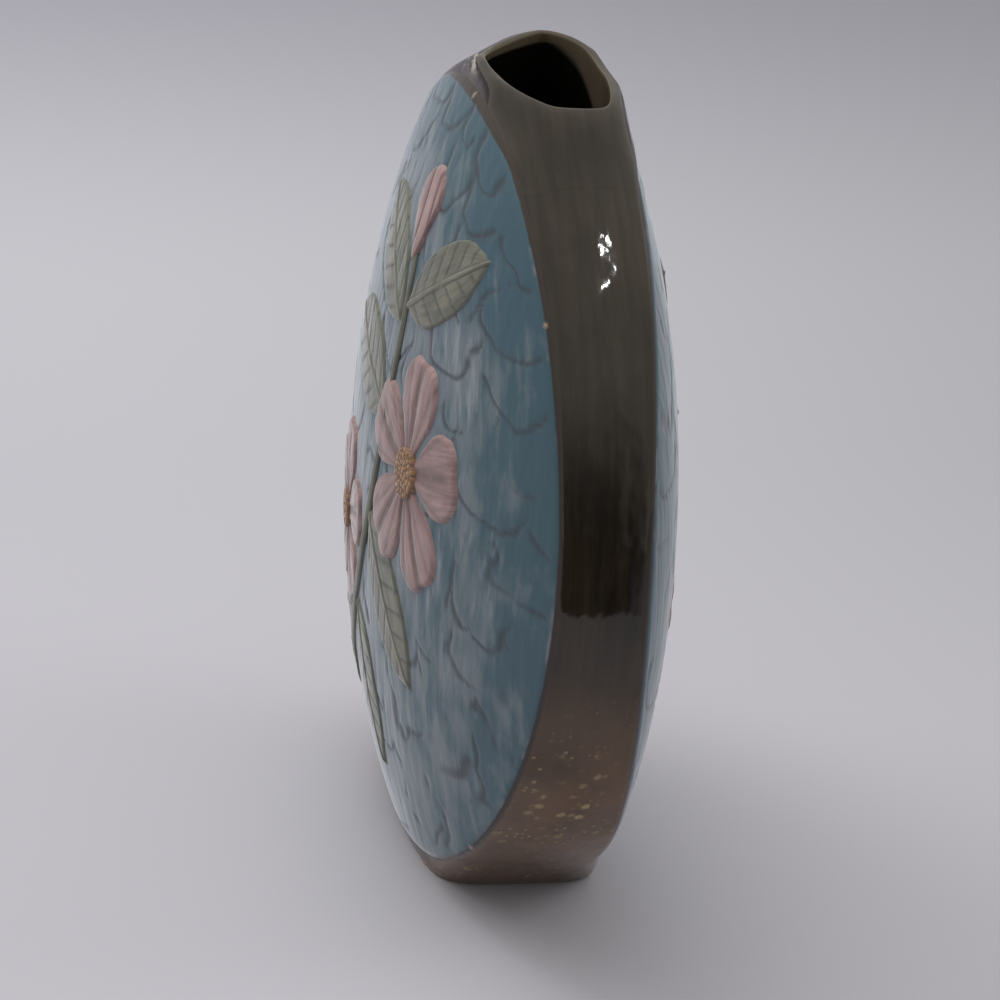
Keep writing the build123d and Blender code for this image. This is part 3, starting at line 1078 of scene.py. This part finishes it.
unit = relief["unit"]
onBothFaces("stem", stemRings(), sageClay, "sage_underglaze")
for number, (across, up, heading, size) in enumerate(relief["leaves"], 1):
    length = size * unit
    place = (across * unit, up * unit, math.radians(heading))
    around, steps = relief["leafSteps"]
    shape = leafShape(length, relief["leafRise"], number)
    built = [pad(leafOutline(length, around), steps, shape, place)]
    onBothFaces(f"leaf_{number}", built, sageClay, "sage_underglaze")
across, up, heading, size = relief["bud"]
budPlace = (across * unit, up * unit, math.radians(heading))
around, steps = relief["budSteps"]
budOutline = petalOutline(size * unit, relief["budAngle"], around, 0.0)
built = [pad(budOutline, steps, budShape(size * unit, relief["budRise"]), budPlace)]
onBothFaces("bud", built, pinkClay, "pink_underglaze")
for number, (across, up, size) in enumerate(relief["blossoms"], 1):
    radius = size * unit
    around, steps = relief["petalSteps"]
    outline = petalOutline(radius, relief["petalAngle"], around, relief["petalNotch"])
    built = []
    for k in range(relief["petals"]):
        place = (across * unit, up * unit, math.radians(90 + k * 360 / relief["petals"]))
        built.append(pad(outline, steps, petalShape(radius, relief["petalRise"], number * 7 + k), place))
    onBothFaces(f"blossom_{number}_petals", built, pinkClay, "pink_underglaze")
    heart = relief["heartShare"] * radius
    around, steps = relief["heartSteps"]
    turns = np.linspace(0, 2 * math.pi, around, endpoint=False)
    circle = heart * np.stack([np.cos(turns), -np.sin(turns)], -1)
    place = (across * unit, up * unit, 0.0)
    built = [pad(circle, steps, heartShape(heart, relief["heartRise"], number), place)]
    onBothFaces(f"blossom_{number}_centre", built, heartClay, "blossom_heart")
print("relief ready")

for name in ("front_seam_coil", "back_seam_coil"):  # hidden in the inside corners
    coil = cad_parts[name]
    coil.data.materials.clear()
    coil.data.materials.append(rawClay)

# Camera, as the photograph was taken
shot = {
    "azimuth": math.radians(75.63),
    "elevation": math.radians(21.7),
    "roll": math.radians(4.94),
    "distance": 1.16,
    "aimAcross": -0.0021,  # where the lens points, from the middle of the disc
    "aimUp": -0.0076,
    "lens": 187.7,
    "sensor": 36.0,
    "clipEnd": 50,
}


def placeCamera():
    a, e, r = shot["azimuth"], shot["elevation"], shot["roll"]
    away = Vector((math.sin(a) * math.cos(e), -math.cos(a) * math.cos(e), math.sin(e)))
    level = Vector((math.cos(a), math.sin(a), 0))
    upright = away.cross(level)
    right = level * math.cos(r) + upright * math.sin(r)
    upward = upright * math.cos(r) - level * math.sin(r)
    middle = Vector((0, 0, centreHeight * mm))
    spot = middle + away * shot["distance"]
    target = middle + right * shot["aimAcross"] + upward * shot["aimUp"]
    back = (spot - target).normalized()
    right = upward.cross(back).normalized()
    upward = back.cross(right)
    lens = bpy.data.cameras.new("camera")
    lens.sensor_width = shot["sensor"]
    lens.lens = shot["lens"]
    lens.clip_end = shot["clipEnd"]
    camera = addObject("camera", lens)
    camera.matrix_world = Matrix.Translation(spot) @ Matrix((right, upward, back)).transposed().to_4x4()
    bpy.context.scene.camera = camera


placeCamera()

# Floor, light and the dark card that the glaze mirrors
studio = {
    "floorColour": (0.385, 0.380, 0.408),
    "floorShadedFar": (0.232, 0.229, 0.264),
    "floorShadowRight": (0.17, 0.168, 0.182),
    "floorLitNear": (0.440, 0.430, 0.462),
    "floorHalf": 4.0,
    "farFrom": (-760.0, -330.0),  # places on the floor over which its painted light and shade change, in millimetres
    "nearFrom": (-240.0, 20.0),
    "rightFrom": (-60.0, 420.0),
    "lampAim": (0, 0, 0.1),
    "lamps": [
        ("softOverhead", (-0.55, -0.25, 1.35), 1.1, 13.0),
        ("softLeft", (-0.9, -1.05, 0.9), 0.9, 9.0),
        ("softRight", (0.0, 1.3, 0.8), 0.9, 5.0),
    ],
    "skyTop": (1.0, 0.995, 0.985),
    "skySide": (0.70, 0.70, 0.715),
    "skyStrength": 0.66,
    "mirrored": 0.72,  # sky as the glaze reflects it
    "warmth": (1.0, 0.94, 0.84),
    "backdrop": (0.50, 0.495, 0.53),
}


def addSheet(name, corners, material):
    mesh = bpy.data.meshes.new(name)
    mesh.from_pydata(corners, [], [(0, 1, 2, 3)])
    mesh.materials.append(material)
    return addObject(name, mesh)


def makeFloor():
    material, start, place = newFinish("floorPaper")
    depth, aside = place.parts()[:2]
    # painted shade far behind the vase and to the right, painted light in front of it
    colour = depth.band(*studio["farFrom"]).blend(studio["floorShadedFar"], studio["floorColour"])
    colour = depth.band(*studio["nearFrom"]).blend(colour, studio["floorLitNear"])
    colour = (aside.band(*studio["rightFrom"]) * 0.5).blend(colour, studio["floorShadowRight"])
    closeFinish(start, {"Base Color": colour, "Roughness": 0.7, "Specular IOR Level": 0.2})
    half = studio["floorHalf"]
    corners = [(-half, -half, 0), (half, -half, 0), (half, half, 0), (-half, half, 0)]
    floor = addSheet("floor", corners, material)


def makeWorld():
    world = bpy.data.worlds.new("studio")
    bpy.context.scene.world = world
    world.use_nodes = True
    tree = world.node_tree
    tree.nodes.clear()
    start = Wire(tree, None)
    up = start.node("ShaderNodeTexCoord", out="Generated").parts()[2]
    sky = up.band(0.0, 0.8).blend(studio["skySide"], studio["skyTop"])
    seen = start.node("ShaderNodeLightPath", out="Is Camera Ray")
    glossy = start.node("ShaderNodeLightPath", out="Is Glossy Ray")
    strength = glossy * (studio["mirrored"] - studio["skyStrength"]) + studio["skyStrength"]
    sky = glossy.blend(sky, sky.tinted(studio["warmth"]))
    lit = start.node("ShaderNodeBackground", None, {"Color": sky, "Strength": strength})
    shown = start.node("ShaderNodeBackground", None, {"Color": studio["backdrop"], "Strength": 1.0})
    both = start.node("ShaderNodeMixShader", None, {0: seen, 1: lit, 2: shown})
    start.node("ShaderNodeOutputWorld", None, {"Surface": both})


glint = {
    # degrees down the band, place across it, width and height of the lamp
    "places": [(35.9, 3.6, 18, 6), (38.1, 1.6, 7, 5), (40.2, 3.2, 26, 8), (42.6, 1.0, 16, 6)],
    "distance": 0.6,
    "power": 9e-8,  # for each square millimetre of lamp
    "spread": math.radians(1.2),
}


def addLamp(name, spot, target, width, height, power, mirrored=False):  # mirrored: only seen in glaze
    lamp = bpy.data.lights.new(name, "AREA")
    lamp.shape = "RECTANGLE"
    lamp.size, lamp.size_y = width, height
    lamp.energy = power
    lamp.spread = glint["spread"] if mirrored else math.pi
    holder = addObject(name, lamp)
    holder.location = spot
    holder.visible_glossy = mirrored
    holder.visible_diffuse = not mirrored
    holder.rotation_mode = "QUATERNION"
    holder.rotation_quaternion = (Vector(target) - Vector(spot)).to_track_quat("-Z", "Y")


def addGlint(number, angle, y, width, height):  # small lamp, mirrored towards the camera at one place
    angle, y = np.array([math.radians(angle)]), np.array([y])
    place = Vector(bandSurface(angle, y)[0] * mm)
    normal = Vector(bandNormal(angle, y)[0])
    view = (bpy.context.scene.camera.matrix_world.translation - place).normalized()
    way = 2 * view.dot(normal) * normal - view
    spot = place + glint["distance"] * way
    power = glint["power"] * width * height
    addLamp(f"glint{number}", spot, place, width * mm, height * mm, power, mirrored=True)


card = {
    "near": 0.25,  # from the edge of the disc, in metres as the other sizes of the card
    "low": 0.002,
    "high": 0.5,
    "left": -0.3,
    "right": 0.09,
    "azimuth": math.radians(14.4),
    "fadeUp": (90.0, 420.0),  # where the card fades out, in millimetres
    "fadeAside": (20.0, 85.0),
    "felt": ((0.008, 0.008, 0.008), (0.012, 0.011, 0.011)),
}


def makeCard():
    a = card["azimuth"]
    outward = Vector((math.cos(a), math.sin(a), 0))
    aside = Vector((-math.sin(a), math.cos(a), 0))
    stand = Vector((body["faceRadius"] * mm, 0, 0)) + outward * card["near"]
    low, high = Vector((0, 0, card["low"])), Vector((0, 0, card["high"]))
    corners = [stand + aside * card["left"] + low, stand + aside * card["right"] + low]
    corners += [stand + aside * card["right"] + high, stand + aside * card["left"] + high]
    material, start, place = newFinish("blackFelt")
    colour = place.noise(0.01).blend(*card["felt"])
    ways = {0: place, 1: tuple(aside)}
    sideways = place.node("ShaderNodeVectorMath", {"operation": "DOT_PRODUCT"}, ways, "Value")
    sideways = sideways - stand.dot(aside) / mm
    shown = (1.0 - place.parts()[2].band(*card["fadeUp"])) * (1.0 - sideways.band(*card["fadeAside"]))
    values = {"Base Color": colour, "Roughness": 0.9, "Specular IOR Level": 0.0, "Alpha": shown}
    closeFinish(start, values)
    piece = addSheet("darkCard", corners, material)
    piece.visible_camera = False
    piece.visible_diffuse = False
    piece.visible_shadow = False


makeFloor()
makeWorld()
makeCard()
for name, spot, size, power in studio["lamps"]:
    addLamp(name, spot, studio["lampAim"], size, size, power)
for number, settings in enumerate(glint["places"], 1):
    addGlint(number, *settings)
bpy.context.scene.view_settings.view_transform = "Standard"
print("studio ready")
